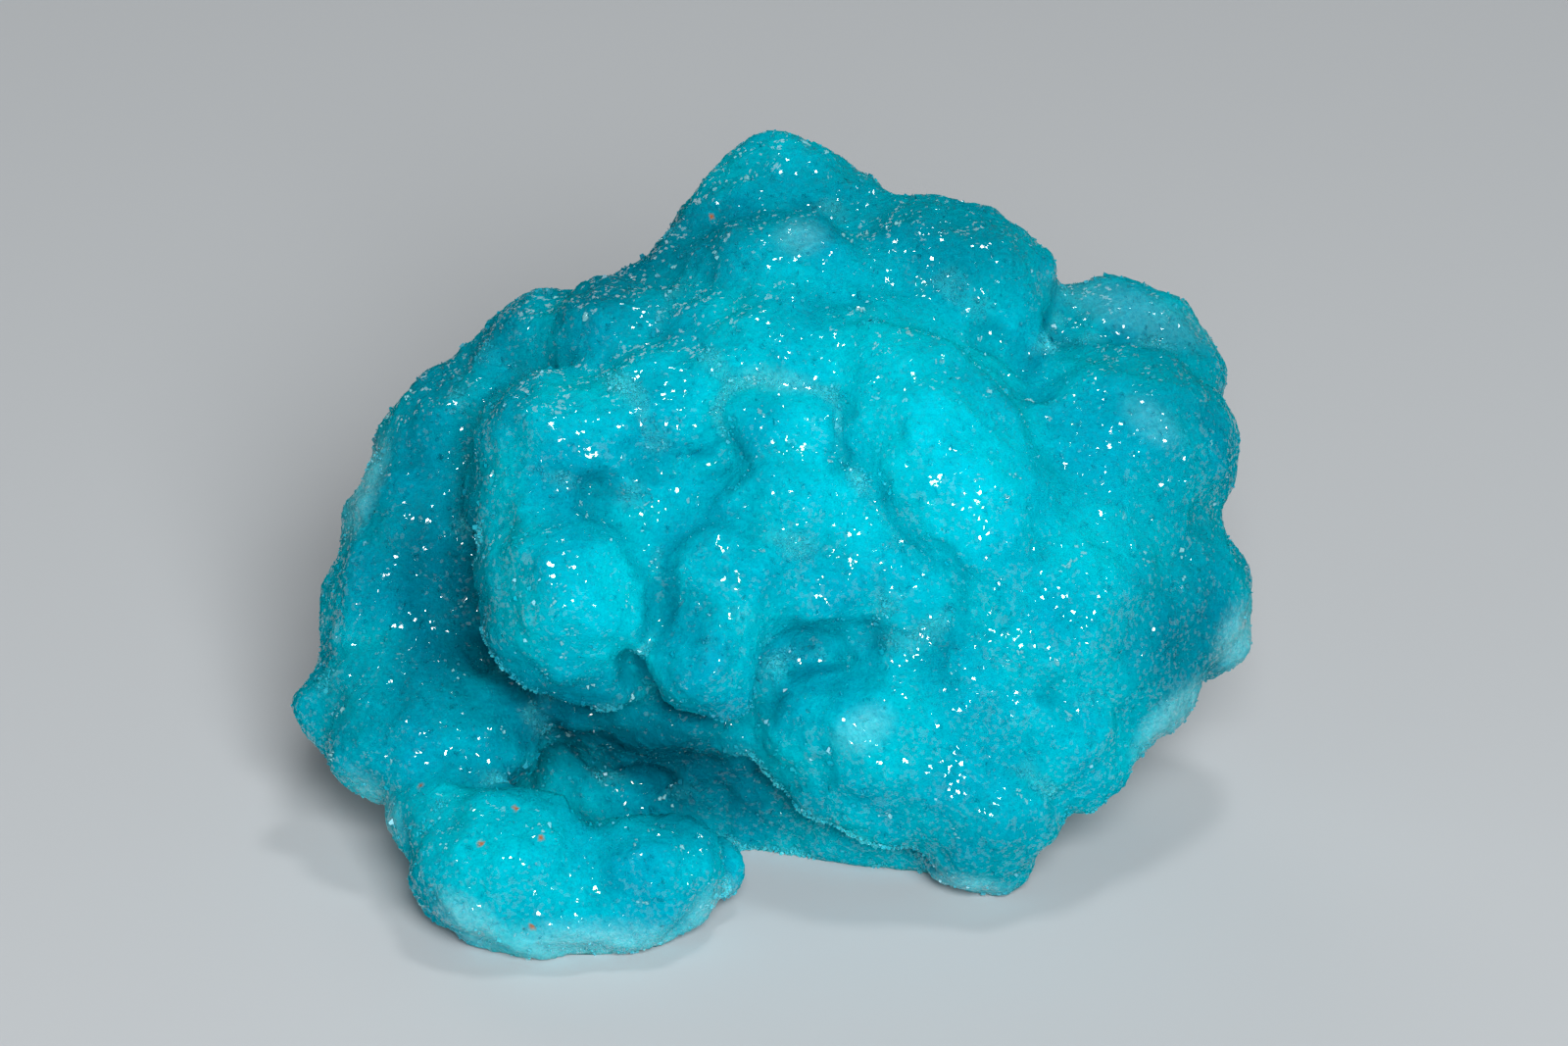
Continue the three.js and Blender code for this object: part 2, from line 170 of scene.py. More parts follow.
# %% Lips, hollows and breaks
LIPS = [
    ("left boss lip", -16.4, -3.7, 4.0, 8.5, 9.9, 10.0, 7, 12, 2),
    ("nose lip", -5.4, -9.6, 7.0, 5.2, 4.8, 5.8, 8, 0, 1.5),
    ("pit lip", 0.8, 9.2, 5.0, 6.2, 4.4, 3.4, 5, -25, 1.5),
    ("ridge lip", 14.4, 5.4, 4.5, 13.8, 7.0, 8.5, 8, -57, 2),
    ("lower body lip", 10.2, -15.4, -1.0, 14.8, 9.6, 8.5, 4, -23, 2),
    ("front lobe right lip", -10.2, -26.6, 5.0, 6.2, 4.8, 6.0, 7, 0, 1.5),
    ("right foot lip", 25.0, -15.6, -2.0, 5.0, 6.4, 6.0, 6, 8, 1.5),
]
HOLLOWS = [
    ("deep recess", -11.4, -20.2, 2, 5.8, 2.6, 13, 6, 1.0),
    ("pit", -5.4, 6.6, 8.5, 3.0, 2.2, 5.0, 20, 1.5),
    ("nose notch", -11.2, -11.6, 10, 1.3, 3.4, 7, 20, 1.2),
    ("right of nose", 3.6, -9.8, 8, 5.0, 2.4, 7.5, 8, 3),
    ("dimple", -12.4, 2.6, 11, 3.6, 1.5, 5.0, -14, 2.5),
]
# Name, a point on the face, and the way it looks, each as right, up and near
BREAKS = [
    ("back break", (0, 6, -30.5), (0.05, 0.25, -0.97)),
    ("lower back break", (4, -14, -27.5), (0.1, -0.62, -0.78)),
    ("right back break", (31, -12, -24), (0.72, -0.45, -0.53)),
    ("left back break", (-29.5, -14, -22), (-0.66, -0.5, -0.56)),
]
BREAK_MELT = 0.6
print(len(LIPS), "lips,", len(HOLLOWS), "hollows,", len(BREAKS), "breaks")

# %% [markdown]
# A surface of melted lobes could be sculpted by hand or made with metaballs. Here it is the place
# where a distance is zero: each shape gives its distance to any point, and a smooth minimum melts
# the shapes together. The distance is also useful afterwards. It tells us how thick the crust is
# under a point, and how deep in a crevice the point lies.

# %% Distance to the crust
FAR_OFF = 50.0
SMALLEST_SLOPE = 1e-6
RIPPLE_SPACING = 8.3
RIPPLE_HEIGHT = 0.22
FINE_RIPPLE_SPACING = 4.7
FINE_RIPPLE_HEIGHT = 0.10
# The finer ripples are turned and shifted, so that the two never run in step
RIPPLE_TURN = np.array([[0.8, -0.6, 0], [0.6, 0.8, 0], [0, 0, 1]])
RIPPLE_SHIFT = (0, 0, 1)


def rolled(right, up, shape, roll):
    """Places along a shape's own width and height, in its half sizes being 1."""
    angle = np.radians(roll)
    across, above = right - shape[1], up - shape[2]
    return (
        across * np.cos(angle) + above * np.sin(angle),
        above * np.cos(angle) - across * np.sin(angle),
    )


def ellipsoid_distance(right, up, near, lobe):
    half_width, half_height, half_depth, roll = lobe[4:8]
    width, height = rolled(right, up, lobe, roll)
    x, y, z = width / half_width, height / half_height, (near - lobe[3]) / half_depth
    reach = np.sqrt(x * x + y * y + z * z)
    slope = np.sqrt((x / half_width) ** 2 + (y / half_height) ** 2 + (z / half_depth) ** 2)
    return reach * (reach - 1) / np.maximum(slope, SMALLEST_SLOPE)


def lens_distance(right, up, near, lip):
    half_width, half_height, front, back, roll = lip[4:9]
    width, height = rolled(right, up, lip, roll)
    x, y, ahead = width / half_width, height / half_height, near - lip[3]
    depth = np.where(ahead > 0, front, back)
    slope = np.sqrt((2 * x / half_width) ** 2 + (2 * y / half_height) ** 2 + 1 / depth**2)
    return (x * x + y * y - 1 + np.abs(ahead) / depth) / slope


def melted(one, other, melt):
    fillet = np.maximum(melt - np.abs(one - other), 0) / melt
    return np.minimum(one, other) - fillet * fillet * melt / 4


def bumps(points, spacing):
    """Smooth swellings of one spacing in every direction, from about -1.5 to 1.5."""
    x, y, z = points.T * (2 * np.pi / spacing)
    return np.sin(x) * np.cos(y) + np.sin(y) * np.cos(z) + np.sin(z) * np.cos(x)


def lobes_distance(points):
    """Distance to the whole crust as it grew, in millimetres, negative inside."""
    right, up, near = seen_from_front(points)
    distance = np.full(len(points), FAR_OFF)
    for lobe in LOBES:
        distance = melted(distance, ellipsoid_distance(right, up, near, lobe), lobe[-1])
    for lip in LIPS:
        distance = melted(distance, lens_distance(right, up, near, lip), lip[-1])
    for hollow in HOLLOWS:
        distance = -melted(-distance, ellipsoid_distance(right, up, near, hollow), hollow[-1])
    distance -= RIPPLE_HEIGHT * bumps(points, RIPPLE_SPACING)
    distance -= FINE_RIPPLE_HEIGHT * bumps(points @ RIPPLE_TURN + RIPPLE_SHIFT, FINE_RIPPLE_SPACING)
    return distance


def break_distance(points):
    """Distance beyond the nearest broken face: above zero is broken away."""
    places = np.stack(seen_from_front(points), 1)
    beyond = [
        (places - point) @ np.array(facing) / np.linalg.norm(facing)
        for _, point, facing in BREAKS
    ]
    return np.max(beyond, axis=0)


def crust_distance(points):
    distance = -melted(-lobes_distance(points), -break_distance(points), BREAK_MELT)
    return np.maximum(distance, FOOT_HEIGHT - points[:, 2])


print("at the heart the crust is", round(float(-crust_distance(np.zeros((1, 3)))[0]), 1), "mm deep")

# %% [markdown]
# Now the distance becomes a mesh. We sample it on a grid and lay one vertex in each small cell that
# the surface passes through, joined to its neighbours by four-sided facets. This way, known as
# surface nets, gives facets of one size all over, which suits a skin of crystals of one size.
# The facets are 0.46 mm, as fine as the number of triangles allows. Far from the surface a coarse
# sample will do.

# %% Sample the distance
FACET = 0.46
COARSE = 4
BLOCK_LOW = np.array([-45.0, -30.0, FOOT_HEIGHT - 2])
BLOCK_HIGH = np.array([45.0, 48.0, 34.0])
CLEARLY_OFF = 2.2


def grid_points(low, counts, step):
    axes = [start + step * np.arange(count) for start, count in zip(low, counts)]
    return np.stack(np.meshgrid(*axes, indexing="ij"), -1).reshape(-1, 3)


def stretched(values, axis, count):
    """Values along one axis at COARSE times as many places, by straight lines between them."""
    place = np.arange(count) / COARSE
    start = np.minimum(place.astype(int), values.shape[axis] - 2)
    share = (place - start).reshape([-1 if k == axis else 1 for k in range(3)])
    return np.take(values, start, axis) * (1 - share) + np.take(values, start + 1, axis) * share


counts = np.ceil((BLOCK_HIGH - BLOCK_LOW) / FACET).astype(int)
coarse_counts = counts // COARSE + 2
coarse_points = grid_points(BLOCK_LOW, coarse_counts, FACET * COARSE)
values = crust_distance(coarse_points).reshape(coarse_counts)
for axis in range(3):
    values = stretched(values, axis, counts[axis])
close = np.abs(values.ravel()) < CLEARLY_OFF * max(1, FACET * COARSE / 2)
exact = crust_distance(grid_points(BLOCK_LOW, counts, FACET)[close])
values.ravel()[close] = exact
print("sampled", int(close.sum()), "of", values.size, "grid points exactly")

# %% [markdown]
# Where two parts of the crust would meet at an edge or a corner alone, the mesh would not be a
# closed skin. Such pinches are filled first.

# %% Fill the pinches
JUST_INSIDE = -0.02
CORNERS = [(i, j, k) for i in (0, 1) for j in (0, 1) for k in (0, 1)]
PINCHED = [((0, 0), (1, 1), (1, 0), (0, 1)), ((1, 0), (0, 1), (0, 0), (1, 1))]


def corner_view(array, corner):
    """The grid as its cells see it from one of their corners."""
    return array[tuple(slice(c, n - 1 + c) for c, n in zip(corner, array.shape))]


def square_view(array, axes, corner):
    places = [slice(None)] * 3
    for axis, c in zip(axes, corner):
        places[axis] = slice(c, array.shape[axis] - 1 + c)
    return array[tuple(places)]


def fill_pinches(values):
    """One pass. Returns how many places were filled."""
    filled = 0
    for axes in ((0, 1), (0, 2), (1, 2)):
        for within, also_within, one, other in PINCHED:
            views = [square_view(values, axes, c) for c in (within, also_within, one, other)]
            pinched = (views[0] < 0) & (views[1] < 0) & (views[2] >= 0) & (views[3] >= 0)
            lower = views[2] < views[3]
            views[2][pinched & lower] = JUST_INSIDE
            views[3][pinched & ~lower] = JUST_INSIDE
            filled += int(pinched.sum())
    inside_count = sum((corner_view(values, c) < 0).astype(int) for c in CORNERS)
    for corner in CORNERS[:4]:
        opposite = tuple(1 - c for c in corner)
        ends = [corner_view(values, c) < 0 for c in (corner, opposite)]
        pinched = (inside_count == 2) & ends[0] & ends[1]
        pinched |= (inside_count == 6) & ~ends[0] & ~ends[1]
        for c in CORNERS:
            view = corner_view(values, c)
            view[pinched & (view >= 0)] = JUST_INSIDE
        filled += int(pinched.sum())
    return filled


passes = 1
while fill_pinches(values):
    passes += 1
print("no pinch left after", passes, "passes")

# %% [markdown]
# The net itself: first the vertices, each at the middle of the places where its cell's edges cross
# the surface, then a facet round every grid edge that goes from inside to outside.

# %% Lay the net
def net_vertices(values):
    shape = tuple(n - 1 for n in values.shape)
    inside_count = sum((corner_view(values, c) < 0).astype(int) for c in CORNERS)
    crossed = (inside_count > 0) & (inside_count < 8)
    cells = np.argwhere(crossed)
    number = np.full(shape, -1)
    number[tuple(cells.T)] = np.arange(len(cells))
    place, hits = np.zeros((len(cells), 3)), np.zeros(len(cells))
    for start in CORNERS:
        for axis in range(3):
            if start[axis] == 0:
                end = tuple(c + (k == axis) for k, c in enumerate(start))
                first = corner_view(values, start)[crossed]
                last = corner_view(values, end)[crossed]
                cross = (first < 0) != (last < 0)
                point = np.tile(np.array(start, float), (len(cells), 1))
                point[:, axis] += first / np.where(cross, first - last, 1)
                place[cross] += point[cross]
                hits[cross] += 1
    return BLOCK_LOW + FACET * (cells + place / hits[:, None]), number


def net_facets(values, number):
    facets = []
    for axis in range(3):
        one, two = (axis + 1) % 3, (axis + 2) % 3
        low, high = [slice(None)] * 3, [slice(None)] * 3
        low[axis], high[axis] = slice(0, -1), slice(1, None)
        edges = np.argwhere((values[tuple(low)] < 0) != (values[tuple(high)] < 0))
        ring = []
        for back_one, back_two in ((1, 1), (0, 1), (0, 0), (1, 0)):
            cell = edges.copy()
            cell[:, one] -= back_one
            cell[:, two] -= back_two
            ring.append(number[tuple(cell.T)])
        facet = np.stack(ring, 1)
        outward = values[tuple(edges.T)] < 0
        facet[~outward] = facet[~outward][:, ::-1]
        facets.append(facet)
    return np.concatenate(facets)


points, cell_number = net_vertices(values)
facets = net_facets(values, cell_number)
print(len(points), "vertices,", 2 * len(facets), "triangles")

# %% [markdown]
# A few steps along the slope of the distance bring each vertex onto the surface itself. The slope,
# at length 1, is also the way the surface looks there.

# %% Settle on the surface
NUDGE = 0.02
SETTLING_STEPS = 2
LEAST_SQUARED_SLOPE = 0.2


def slope_at(points):
    steps = np.eye(3) * NUDGE
    return np.stack(
        [crust_distance(points + s) - crust_distance(points - s) for s in steps], 1
    ) / (2 * NUDGE)


for _ in range(SETTLING_STEPS):
    slope = slope_at(points)
    squared_slope = np.maximum((slope**2).sum(1), LEAST_SQUARED_SLOPE)[:, None]
    move = -crust_distance(points)[:, None] * slope / squared_slope
    points = points + np.clip(move, -FACET / 2, FACET / 2)
slope = slope_at(points)
outward = slope / np.maximum(np.linalg.norm(slope, axis=1), SMALLEST_SLOPE)[:, None]
print("farthest from the surface, mm:", round(float(np.abs(crust_distance(points)).max()), 3))

# %% [markdown]
# What the distance tells about each vertex:
#
# - thin: how little crust lies under it. Thin rims let light through; the whitish colour they are
#   given is painted glow.
# - crevice: how much crust stands around it. Crevices are given a darker colour: painted shade.
# - broken: whether it lies on a face that broke from the rock. No crystals grew there.
# - foot: whether it lies on the flat cut that the specimen stands on.
# - depth: how far inside the grown surface it lies, which draws the growth bands on broken faces.
# - pale: the milky patches, and the rims where the crust broke thin. They are placed one by one.
# - tone: painted shade and painted light over places several millimetres wide, darker below zero
#   and brighter above, with some of the mineral's own colour. They were set by hand after measuring
#   where a render was brighter or darker than the specimen in its photograph, so they may hold some
#   light and shade as well as the mineral's own colour.
# - rust: a few specks of iron stain on the front, each less than a millimetre wide.

# %% Thin rims, shaded crevices, broken faces, painted shade and light, tones and rust
def ramp(values, low, high):
    share = np.clip((values - low) / (high - low), 0, 1)
    return share * share * (3 - 2 * share)


# Right and up of the middle, half width, half height, roll in degrees, and how pale
PALE_PLACES = [
    (2.2, 25.6, 2.2, 1.6, 0, 0.35),
    (7.4, -15.2, 2.6, 1.8, 30, 0.5),
    (31.4, 10.2, 3.0, 1.6, -40, 0.25),
    (0.2, 13.6, 3.4, 1.0, -10, 0.3),
    (-14.6, -33.2, 10.5, 2.2, 0, 1.0),
    (-24.6, -31.4, 4.0, 1.8, -40, 0.8),
    (-5.6, -30.6, 3.4, 1.6, 45, 0.8),
    (39.2, -8.0, 2.2, 3.4, -20, 0.8),
    (33.4, -14.4, 4.6, 1.6, 45, 0.8),
    (15.6, -28.6, 4.4, 1.2, -8, 0.9),
    (-34.6, 4.8, 1.4, 4.6, -20, 0.6),
    (-33.2, -21.6, 3.8, 1.4, -48, 0.5),
    (30.4, 19.6, 7.5, 2.0, -20, 0.25),
]
# The same columns, and the painted shade (below zero) or light (above zero), from -1 to 1
SHADE_LIGHT_AND_TONES = [
    (-31, 8, 9, 16, -10, -0.55),
    (-27.5, -5.5, 5, 8, 10, -0.9),
    (-34, -13, 8, 5, 0, -0.5),
    (-14, -15.5, 11, 4, -5, -0.8),
    (-6, -20.5, 9, 4, -12, -0.9),
    (-11, 25, 8, 6, 30, -0.8),
    (15, 26, 10, 5, -20, -0.7),
    (1, 29, 7, 5, 0, -0.4),
    (32, 17, 9, 6, -20, -0.4),
    (37, 2, 7, 14, 0, -0.5),
    (35, -12, 6, 9, 30, -0.6),
    (18, -27, 7, 5, 0, -0.4),
    (-20, 19, 9, 4, 25, -0.35),
    (11, 7, 9, 10, -50, 0.5),
    (17, 2, 4, 9, -35, 0.3),
    (-14, -5, 5, 5, 0, 0.25),
]
# Right and up of the middle of each rust speck
RUST_SPECKS = [
    (-5.6, 27.6),
    (-29.4, -19.6),
    (-21.0, -21.5),
    (-18.9, -23.7),
    (-24.1, -24.2),
    (-20.3, -31.4),
]
RUST_REACH = 0.55
# How far under and over the skin the crust is felt for, and the ranges in which a mask goes from
# 0 to 1. The crevice's is in shares of the way out, the places' in shares of their half sizes.
UNDER_SKIN = 2.0
OVER_SKIN = 2.5
CREVICE_RANGE = (0.9, 0.2)
THIN_RANGE = (-1.4, -0.3)
BREAK_RANGE = (-0.35, -0.1)
PALE_RANGE = (1.3, 0.3)
SHADE_LIGHT_AND_TONE_RANGE = (1.5, 0.2)
FOOT_MARGIN = 0.05
open_way, closed_way = [share * OVER_SKIN for share in CREVICE_RANGE]
# This measure darkens the colour in crevices further on: painted shade.
crevice_shade = ramp(crust_distance(points + OVER_SKIN * outward), open_way, closed_way)
thin = ramp(crust_distance(points - UNDER_SKIN * outward), *THIN_RANGE) * (1 - crevice_shade)
foot = (points[:, 2] < FOOT_HEIGHT + FOOT_MARGIN).astype(float)
broken = np.maximum(ramp(break_distance(points), *BREAK_RANGE), foot)
depth = np.maximum(-lobes_distance(points), 0)
right, up, near = seen_from_front(points)


def inside_place(place, outer, inner):
    """From 0 at the outer share of a place's half sizes to 1 at the inner one."""
    half_width, half_height, roll = place[2:5]
    across, above = rolled(right, up, (None, *place[:2]), roll)
    return ramp(np.hypot(across / half_width, above / half_height), outer, inner)


pale, shade_light_and_tone, rust = np.zeros((3, len(points)))
for place in PALE_PLACES:
    pale = np.maximum(pale, place[-1] * inside_place(place, *PALE_RANGE))
# Painted shade below zero and painted light above it, with some of the mineral's own colour
for place in SHADE_LIGHT_AND_TONES:
    shade_light_and_tone += place[-1] * inside_place(place, *SHADE_LIGHT_AND_TONE_RANGE)
for speck_right, speck_up in RUST_SPECKS:
    under_speck = np.flatnonzero(np.hypot(right - speck_right, up - speck_up) < FACET)
    frontmost = under_speck[np.argmax(near[under_speck])]
    reach = np.linalg.norm(points - points[frontmost], axis=1)
    rust = np.maximum(rust, ramp(reach, RUST_REACH, 0))
print("thin %.2f, crevice %.2f, broken %.2f of the skin" % (thin.mean(), crevice_shade.mean(), broken.mean()))

# %% [markdown]
# The skin under the druse is uneven: the crystals grew in clumps of one to three millimetres. Every
# vertex moves a little out or in, and sideways, so that the net's own pattern is lost. On broken
# faces the growth bands show instead, as low ridges on a hackly break: the harder bands stand out.

# %% Roughen the skin
SEED = 20
rng = np.random.default_rng(SEED)
SKIN_RELIEF = 0.045
SKIN_SCATTER = 0.30
CLUMP_SPACINGS = (1.9, 3.1)
CLUMP_HEIGHTS = (0.035, 0.03)
BAND_SPACING = 1.7
BAND_RELIEF = 0.09
HACKLE_SPACING = 3.7
HACKLE_RELIEF = 0.22
CLUMP_TURN = np.array([[0.6, 0, 0.8], [0, 1, 0], [-0.8, 0, 0.6]])
height = CLUMP_HEIGHTS[0] * bumps(points + CLUMP_SPACINGS[1], CLUMP_SPACINGS[0])
height += CLUMP_HEIGHTS[1] * bumps(points @ CLUMP_TURN, CLUMP_SPACINGS[1])
break_height = BAND_RELIEF * np.sin(2 * np.pi * depth / BAND_SPACING)
break_height -= HACKLE_RELIEF * np.abs(bumps(points @ CLUMP_TURN, HACKLE_SPACING))
height += broken * (break_height - height)
height += rng.normal(0, SKIN_RELIEF, len(points))
sideways = rng.uniform(-SKIN_SCATTER, SKIN_SCATTER, (len(points), 3)) * FACET
sideways -= (sideways * outward).sum(1)[:, None] * outward
points = points + outward * height[:, None] + sideways * (1 - foot)[:, None]
points[foot > 0, 2] = FOOT_HEIGHT
points[:, 2] = np.maximum(points[:, 2], FOOT_HEIGHT)
print("relief, mm:", round(float(np.ptp(height)), 2))

# %% [markdown]
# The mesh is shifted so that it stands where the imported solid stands: the middle of its box over the
# frame's origin, and its foot on the floor.

# %% The crust as a piece
crust_middle = (points.min(0) + points.max(0)) / 2
place_of_origin = np.array([crust_middle[0], crust_middle[1], FOOT_HEIGHT])


def mesh_piece(name, vertices_mm, corners, sizes, attributes):
    """A mesh object. corners lists the vertices of all faces in turn, and sizes how many each has."""
    mesh = bpy.data.meshes.new(name)
    mesh.vertices.add(len(vertices_mm))
    mesh.vertices.foreach_set("co", ((vertices_mm - place_of_origin) * MM).astype(np.float32).ravel())
    mesh.loops.add(len(corners))
    mesh.loops.foreach_set("vertex_index", corners.astype(np.int32))
    mesh.polygons.add(len(sizes))
    mesh.polygons.foreach_set("loop_start", (np.cumsum(sizes) - sizes).astype(np.int32))
    for attribute, values in attributes.items():
        layer = mesh.attributes.new(attribute, "FLOAT", "POINT")
        layer.data.foreach_set("value", values.astype(np.float32))
    mesh.update(calc_edges=True)
    piece = bpy.data.objects.new(name, mesh)
    bpy.context.scene.collection.objects.link(piece)
    return piece


crust_masks = {
    "thin": thin,
    "crevice_shade": crevice_shade,
    "broken": broken,
    "depth": depth,
    "pale": pale,
    "shade_light_and_tone": shade_light_and_tone,
    "rust": rust,
}
crust = mesh_piece("hemimorphite_crust", points, facets.ravel(), np.full(len(facets), 4), crust_masks)
crust.data.shade_smooth()
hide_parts("hemimorphite")
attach(crust, "root")
print("crust box, mm:", np.round(np.ptp(points, axis=0), 1))

# %% [markdown]
# The druse. Hemimorphite crystals are blades that end in a roof of slanting faces. Here most are a
# fifth to half a millimetre wide and stand out by less than their width, tilted at random. Each is a
# small closed solid of five faces, sunk into the skin. Hair particles could carry them, but an
# export drops those: joined meshes stay. The tips stand on the thin rims, where they show as a
# toothed edge. On the faces of the lobes they would block the light and read as dark specks, so the
# crust's finish draws the druse there. The clear crystals are as small, and stand in groups that
# lean nearly the same way, so that a group flashes at once.

# %% Grow the druse
TIP_COUNT = 16000
CLEAR_COUNT = 1000
GROUP_SIZE = 4
GROUP_REACH = 0.3
# The usual width, how widely widths spread round it, and how far the crystals tilt
TIP_WIDTH, TIP_SPREAD, TIP_TILT = 0.3, 0.3, 0.35
CLEAR_WIDTH, CLEAR_SPREAD, CLEAR_TILT = 0.27, 0.35, 0.3
LARGEST_CLEAR = 0.6
# Thickness and ridge as shares of the half and height as a share of the full width
THICKNESS_SHARES = (0.45, 0.8)
RIDGE_SHARES = (0.35, 0.8)
HEIGHT_SHARES = (0.2, 0.6)
WITHIN_GROUP_LEAN = 0.04
OFF_RIM_SHARE = 0.01
BETWEEN_PATCHES_SHARE = 0.1
PATCH_SPACINGS = (6.3, 3.7)
PATCH_SHIFT = 5
PATCH_RANGE = (-0.6, 1.4)
SMALL_PATCH_SHARE = 0.6
ROOF_CORNERS = np.array([0, 1, 5, 4, 2, 3, 4, 5, 3, 2, 1, 0, 1, 2, 5, 3, 0, 4])
ROOF_SIZES = np.array([4, 4, 4, 3, 3])
VERTICES_PER_CRYSTAL = 6


def unit(vectors):
    return vectors / np.linalg.norm(vectors, axis=-1, keepdims=True)


def roofed_crystals(place, axis, along, widths):
    """Vertices of one crystal at each place. Its base is under the skin and its ridge out of it."""
    total = len(widths)
    across = np.cross(axis, along)
    half_width = widths / 2
    half_thickness = half_width * rng.uniform(*THICKNESS_SHARES, total)
    half_ridge = half_width * rng.uniform(*RIDGE_SHARES, total)
    base, ridge = -half_width, widths * rng.uniform(*HEIGHT_SHARES, total)
    ends_and_sides = ((-1, -1), (1, -1), (1, 1), (-1, 1))
    corners = [(end * half_width, side * half_thickness, base) for end, side in ends_and_sides]
    corners += [(end * half_ridge, np.zeros(total), ridge) for end in (-1, 1)]
    sizes = np.array([np.stack(corner, 1) for corner in corners])
    vertices = place + sizes[..., :1] * along + sizes[..., 1:2] * across + sizes[..., 2:] * axis
    return vertices.transpose(1, 0, 2).reshape(-1, 3)


def crystal_piece(name, weights, widths, tilt, group_size=1, group_reach=0.0):
    """A joined mesh of crystals on facets chosen by weight, in groups that lean the same way."""
    groups = len(widths) // group_size
    chosen = np.repeat(rng.choice(len(facets), groups, p=weights / weights.sum()), group_size)
    lean = np.repeat(rng.normal(0, tilt, (groups, 3)), group_size, 0)
    turn = np.repeat(rng.normal(0, 1, (groups, 3)), group_size, 0)
    place, upright = middle_of_facet[chosen], outward[facets[chosen]].mean(1)
    aside = rng.normal(0, 1, place.shape) * max(group_reach, FACET / 3)
    place = place + aside - (aside * upright).sum(1)[:, None] * upright
    place -= crust_distance(place)[:, None] * upright
    axis = unit(upright + lean + rng.normal(0, WITHIN_GROUP_LEAN, lean.shape))
    along = unit(np.cross(axis, turn))
    vertices = roofed_crystals(place, axis, along, widths)
    vertices[:, 2] = np.maximum(vertices[:, 2], FOOT_HEIGHT)
    masks = {
        name: np.repeat(values[facets[chosen]].mean(1), VERTICES_PER_CRYSTAL)
        for name, values in crust_masks.items()
    }
    corners = (VERTICES_PER_CRYSTAL * np.arange(len(widths))[:, None] + ROOF_CORNERS).ravel()
    piece = mesh_piece(name, vertices, corners, np.tile(ROOF_SIZES, len(widths)), masks)
    piece.data.shade_flat()
    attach(piece, "root")
    return piece


middle_of_facet = points[facets].mean(1)
grown_facet = 1 - np.maximum(broken, foot)[facets].mean(1)
rim_facet = grown_facet * (OFF_RIM_SHARE + thin[facets].mean(1))
small_patches = SMALL_PATCH_SHARE * bumps(middle_of_facet + PATCH_SHIFT, PATCH_SPACINGS[1])
patchy = ramp(bumps(middle_of_facet, PATCH_SPACINGS[0]) + small_patches, *PATCH_RANGE)
patch_facet = grown_facet * (BETWEEN_PATCHES_SHARE + patchy**2)
tip_widths = TIP_WIDTH * rng.lognormal(0, TIP_SPREAD, TIP_COUNT)
druse_tips = crystal_piece("druse_tips", rim_facet, tip_widths, TIP_TILT)
clear_widths = np.minimum(CLEAR_WIDTH * rng.lognormal(0, CLEAR_SPREAD, CLEAR_COUNT), LARGEST_CLEAR)
clear_crystals = crystal_piece(
    "clear_crystals", patch_facet, clear_widths, CLEAR_TILT, GROUP_SIZE, GROUP_REACH
)
print(TIP_COUNT, "tips on the rims and", CLEAR_COUNT, "clear crystals")

# %% [markdown]
# Materials are built from nodes. One function adds a node, sets its values and makes its links, and
# one turns the colours we write, as on a screen, into the linear ones that the renderer counts with.

# %% Helpers for materials
def linear(colour, alpha=1.0):
    """An sRGB hex colour such as "#0a9cb0" as linear red, green, blue and alpha."""
    shares = [int(colour[start : start + 2], 16) / 255 for start in (1, 3, 5)]
    return [s / 12.92 if s <= 0.04045 else ((s + 0.055) / 1.055) ** 2.4 for s in shares] + [alpha]


def finish_node(material, node, inputs=None, links=None):
    """Sets a node's inputs and makes the links that feed it."""
    for name, value in (inputs or {}).items():
        node.inputs[name].default_value = value
    for name, (source, output) in (links or {}).items():
        material.node_tree.links.new(source.outputs[output], node.inputs[name])


def add_node(material, kind, settings=None, inputs=None, links=None):
    """Adds a node. links names an input, then the node and the output that feed it."""
    node = material.node_tree.nodes.new(kind)
    for name, value in (settings or {}).items():
        setattr(node, name, value)
    finish_node(material, node, inputs, links)
    return node


def new_material(name):
    material = bpy.data.materials.new(name)
    material.use_nodes = True
    return material, material.node_tree.nodes["Principled BSDF"]


print("turquoise, linear:", np.round(linear("#0a9cb0"), 3))

# %% [markdown]
# Hemimorphite, as this crust is: a glassy zinc silicate, coloured through and through by a little
# copper. First its colour, which the crust and the tips share. It is clouded on a scale of 8 mm, as
# if more or less copper came while it grew. A net of darker lines, about half a millimetre apart,
# is painted shade between the grains. Over that go painted shade in crevices, painted shade and
# light with some of the mineral's own colour, painted glow on thin rims, and milky pale places.
# Broken faces show growth bands instead, drawn from the depth, and a few specks are stained by rust.

# %% Hemimorphite's colour
CLOUD_SIZE = 8
GRAIN_SIZE = 0.5
# A mask, its values that give none and most of a colour, that most, and the colour
SHADE_LIGHT_AND_TONE_LAYERS = [
    # Painted shade in crevices
    ("crevice_shade", 0.2, 1, 0.6, "#006a80"),
    # Painted shade and painted light, with some of the mineral's own colour
    ("shade_light_and_tone", 0, -1, 0.85, "#00586e"),
    ("shade_light_and_tone", 0, 1, 0.75, "#00d0e2"),
]


def per_metre(size_in_mm):
    """A texture's scale for a pattern of that size."""
    return 1000 / size_in_mm


def mixed(material, factor, first, second):
    """A mix of two colours. Each is a node with its output, or a hex colour."""
    mix = add_node(material, "ShaderNodeMix", {"data_type": "RGBA"}, links={"Factor": factor})
    for socket, colour in ((mix.inputs[6], first), (mix.inputs[7], second)):
        if isinstance(colour, str):
            socket.default_value = linear(colour)
        else:
            material.node_tree.links.new(colour[0].outputs[colour[1]], socket)
    return mix, 2


def ranged(material, source, low, high, least, most):
    """Stretches a value from the range low to high over least to most."""
    limits = {"From Min": low, "From Max": high, "To Min": least, "To Max": most}
    return add_node(material, "ShaderNodeMapRange", inputs=limits, links={"Value": source}), "Result"


